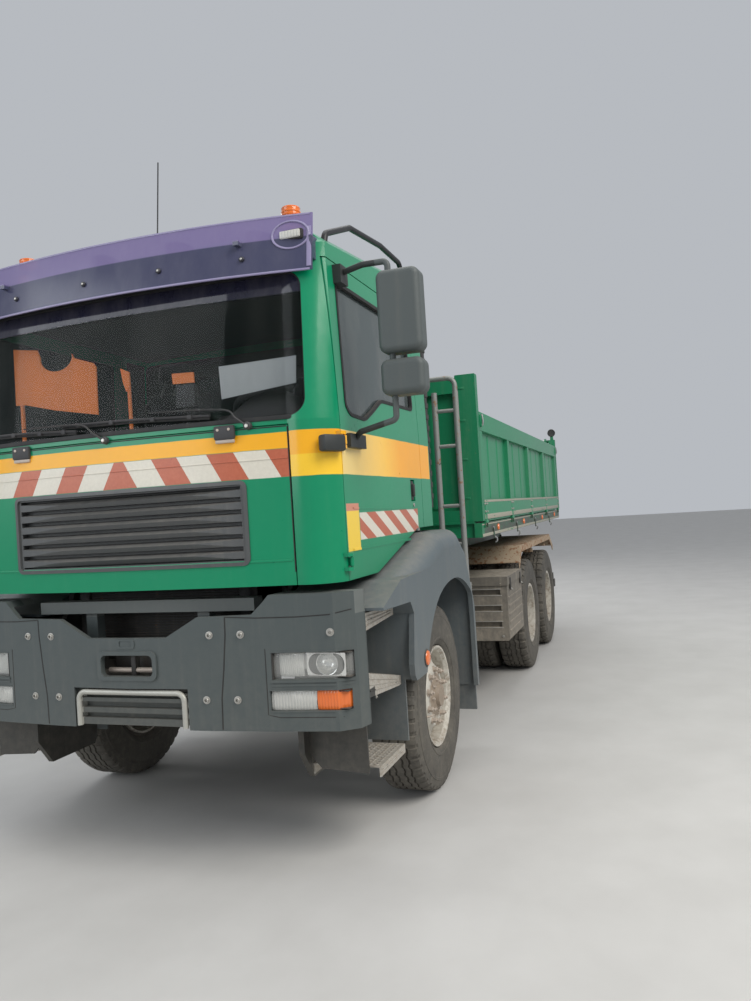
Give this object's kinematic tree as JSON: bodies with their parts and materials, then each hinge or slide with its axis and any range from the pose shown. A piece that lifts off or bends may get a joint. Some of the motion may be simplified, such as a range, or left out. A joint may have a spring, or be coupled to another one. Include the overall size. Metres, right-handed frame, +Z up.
{
  "type": "dump truck",
  "caption": "Three-axle tipping truck with a day cab, twin rear tyres, drop sides, a top-hung tailgate and a telescopic tipping cylinder under the body.",
  "frame": {"origin": "on the ground under the middle of the truck's length and width", "axes": "+X forward along the truck, +Y to its left, +Z up"},
  "size_m": [8.04, 3.064, 3.6111],
  "materials": {
    "cab_paint": "satin",
    "body_paint": "worn satin",
    "bumper_grey": "matt",
    "guard_grey": "matt",
    "mirror_grey": "matt",
    "step_grey": "dusty",
    "grille_grey": "satin",
    "visor_tint": "glossy",
    "window_glass": "clear",
    "lamp_clear": "clear",
    "beacon_amber": "glossy",
    "tyre": "dusty",
    "rim_paint": "worn",
    "chassis_paint": "dusty",
    "axle_iron": "dusty",
    "cylinder_chrome": "polished",
    "barrel_paint": "satin",
    "tube_black": "satin",
    "seat_fabric": "woven",
    "trim_plastic": "grained",
    "tank_aluminium": "brushed",
    "box_plastic": "dusty",
    "step_beige": "rusty",
    "step_steel": "worn bright"
  },
  "bodies": {
    "chassis": {"frame": "chassis_paint", "bumper": "bumper_grey", "headlamps": "lamp_clear", "bumper_step": "step_steel", "driveline": "axle_iron", "rear_axles": "axle_iron", "springs": "chassis_paint", "front_axle": "axle_iron", "front_mudguards": "guard_grey", "cab_steps": "step_grey", "battery_box": "box_plastic", "fuel_tank": "tank_aluminium", "air_tanks": "chassis_paint", "rear_mudguards": "step_beige", "rear_bar": "chassis_paint", "cab_rack": "chassis_paint"},
    "cab": {"cab_shell": "cab_paint", "tilt_arms": "chassis_paint", "front_panel": "cab_paint", "grille": "grille_grey", "windscreen": "window_glass", "sun_visor": "visor_tint", "roof_rails": "tube_black", "air_intake": "box_plastic", "roof_lamps": "beacon_amber", "dashboard": "trim_plastic", "seats": "seat_fabric", "steering_wheel": "trim_plastic"},
    "bed": {"bed_floor": "body_paint", "headboard": "body_paint"},
    "side_left": {"drop_side_left": "body_paint"},
    "side_right": {"drop_side_right": "body_paint"},
    "tailgate": {"tailgate": "body_paint"},
    "tie_rod": {"tie_rod": "axle_iron"},
    "tip_barrel": {"tip_barrel": "barrel_paint"},
    "tip_stage_1": {"tip_stage_1": "cylinder_chrome"},
    "tip_stage_2": {"tip_stage_2": "cylinder_chrome"},
    "tip_stage_3": {"tip_stage_3": "cylinder_chrome"},
    "tip_stage_4": {"tip_stage_4": "cylinder_chrome"},
    "door_left": {"door_left": "cab_paint", "door_glass_left": "window_glass", "mirrors_left": "mirror_grey"},
    "steer_left": {"knuckle_left": "axle_iron"},
    "wheel_front_left": {"front_tyre_left": "tyre", "front_rim_left": "rim_paint"},
    "wheel_middle_left": {"middle_tyres_left": "tyre", "middle_rims_left": "rim_paint"},
    "wheel_rear_left": {"rear_tyres_left": "tyre", "rear_rims_left": "rim_paint"},
    "door_right": {"door_right": "cab_paint", "door_glass_right": "window_glass", "mirrors_right": "mirror_grey"},
    "steer_right": {"knuckle_right": "axle_iron"},
    "wheel_front_right": {"front_tyre_right": "tyre", "front_rim_right": "rim_paint"},
    "wheel_middle_right": {"middle_tyres_right": "tyre", "middle_rims_right": "rim_paint"},
    "wheel_rear_right": {"rear_tyres_right": "tyre", "rear_rims_right": "rim_paint"}
  },
  "joints": [
    {"name": "cab_tilt", "type": "hinge", "parent": "chassis", "child": "cab", "pos_m": [3.805, 0, 1], "axis": [0, 1, 0], "range_deg": [0, 60]},
    {"name": "door_left_swing", "type": "hinge", "parent": "cab", "child": "door_left", "pos_m": [3.788, 1.134, 2], "axis": [0, 0, -1], "range_deg": [0, 70]},
    {"name": "door_right_swing", "type": "hinge", "parent": "cab", "child": "door_right", "pos_m": [3.788, -1.134, 2], "axis": [0, 0, 1], "range_deg": [0, 70]},
    {"name": "steer_left", "type": "hinge", "parent": "chassis", "child": "steer_left", "pos_m": [2.585, 0.872, 0.552], "axis": [0, 0, 1], "range_deg": [-38, 38]},
    {"name": "steer_right", "type": "hinge", "parent": "chassis", "child": "steer_right", "pos_m": [2.585, -0.872, 0.552], "axis": [0, 0, 1], "range_deg": [-38, 38]},
    {"name": "tie_rod_slide", "type": "slide", "parent": "chassis", "child": "tie_rod", "axis": [0, -1, 0], "range_m": [-0.127, 0.127]},
    {"name": "front_wheel_left_spin", "type": "hinge", "parent": "steer_left", "child": "wheel_front_left", "pos_m": [2.585, 1.054, 0.552], "axis": [0, 1, 0], "continuous": true},
    {"name": "middle_wheel_left_spin", "type": "hinge", "parent": "chassis", "child": "wheel_middle_left", "pos_m": [-1.015, 0.932, 0.552], "axis": [0, 1, 0], "continuous": true},
    {"name": "rear_wheel_left_spin", "type": "hinge", "parent": "chassis", "child": "wheel_rear_left", "pos_m": [-2.415, 0.932, 0.552], "axis": [0, 1, 0], "continuous": true},
    {"name": "front_wheel_right_spin", "type": "hinge", "parent": "steer_right", "child": "wheel_front_right", "pos_m": [2.585, -1.054, 0.552], "axis": [0, 1, 0], "continuous": true},
    {"name": "middle_wheel_right_spin", "type": "hinge", "parent": "chassis", "child": "wheel_middle_right", "pos_m": [-1.015, -0.932, 0.552], "axis": [0, 1, 0], "continuous": true},
    {"name": "rear_wheel_right_spin", "type": "hinge", "parent": "chassis", "child": "wheel_rear_right", "pos_m": [-2.415, -0.932, 0.552], "axis": [0, 1, 0], "continuous": true},
    {"name": "bed_tip", "type": "hinge", "parent": "chassis", "child": "bed", "pos_m": [-3.495, 0, 1.242], "axis": [0, -1, 0], "range_deg": [0, 45]},
    {"name": "side_left_drop", "type": "hinge", "parent": "bed", "child": "side_left", "pos_m": [0, 1.25, 1.56], "axis": [-1, 0, 0], "range_deg": [0, 95]},
    {"name": "side_right_drop", "type": "hinge", "parent": "bed", "child": "side_right", "pos_m": [0, -1.25, 1.56], "axis": [1, 0, 0], "range_deg": [0, 95]},
    {"name": "tailgate_swing", "type": "hinge", "parent": "bed", "child": "tailgate", "pos_m": [-3.985, 0, 2.5], "axis": [0, 1, 0], "range_deg": [0, 60]},
    {"name": "barrel_swing", "type": "hinge", "parent": "chassis", "child": "tip_barrel", "pos_m": [-0.495, 0, 0.82], "axis": [0, -1, 0], "range_deg": [0, 21.5]},
    {"name": "stage_1_slide", "type": "slide", "parent": "tip_barrel", "child": "tip_stage_1", "axis": [0, 0, 1], "range_m": [0, 0.5625]},
    {"name": "stage_2_slide", "type": "slide", "parent": "tip_stage_1", "child": "tip_stage_2", "axis": [0, 0, 1], "range_m": [0, 0.5625]},
    {"name": "stage_3_slide", "type": "slide", "parent": "tip_stage_2", "child": "tip_stage_3", "axis": [0, 0, 1], "range_m": [0, 0.5625]},
    {"name": "stage_4_slide", "type": "slide", "parent": "tip_stage_3", "child": "tip_stage_4", "axis": [0, 0, 1], "range_m": [0, 0.5625]}
  ],
  "couplings": [
    {"joint": "steer_right", "follows": "steer_left", "ratio": 1},
    {"joint": "tie_rod_slide", "follows": "steer_left", "m_per_rad": 0.19},
    {"joint": "barrel_swing", "follows": "bed_tip", "ratio": 0.47269},
    {"joint": "stage_1_slide", "follows": "bed_tip", "m_per_rad": 0.7146},
    {"joint": "stage_2_slide", "follows": "bed_tip", "m_per_rad": 0.7146},
    {"joint": "stage_3_slide", "follows": "bed_tip", "m_per_rad": 0.7146},
    {"joint": "stage_4_slide", "follows": "bed_tip", "m_per_rad": 0.7146}
  ]
}
